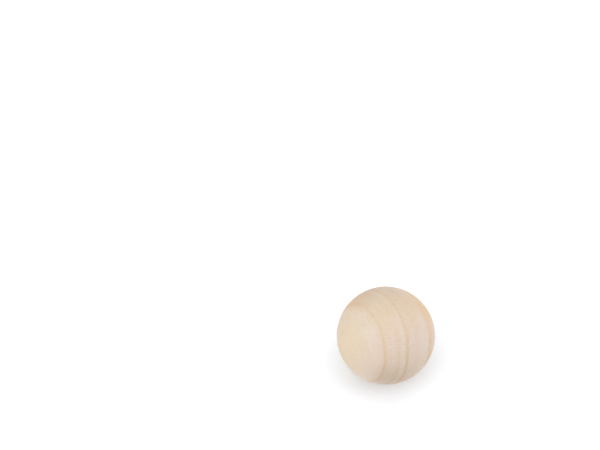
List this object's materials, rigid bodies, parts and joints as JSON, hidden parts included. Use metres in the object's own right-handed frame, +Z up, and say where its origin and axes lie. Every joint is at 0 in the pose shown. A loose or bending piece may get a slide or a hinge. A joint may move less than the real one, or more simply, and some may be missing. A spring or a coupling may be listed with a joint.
{
  "type": "wooden ball",
  "caption": "Solid round ball turned from one piece of pale bare hardwood, sanded smooth, with faint growth rings and no hole or flat.",
  "frame": {"origin": "centre of the ball", "axes": "+Z is up, away from the surface that the ball lies on; +Y runs away from a viewer who stands at azimuth 0, and +X is to that viewer's right. The shape is alike in every direction, so only the wood's figure tells the axes apart."},
  "size_m": [0.025, 0.025, 0.025],
  "materials": {
    "bare_wood": "matte, bare and sanded"
  },
  "bodies": {
    "root": {"ball": "bare_wood"}
  },
  "joints": []
}
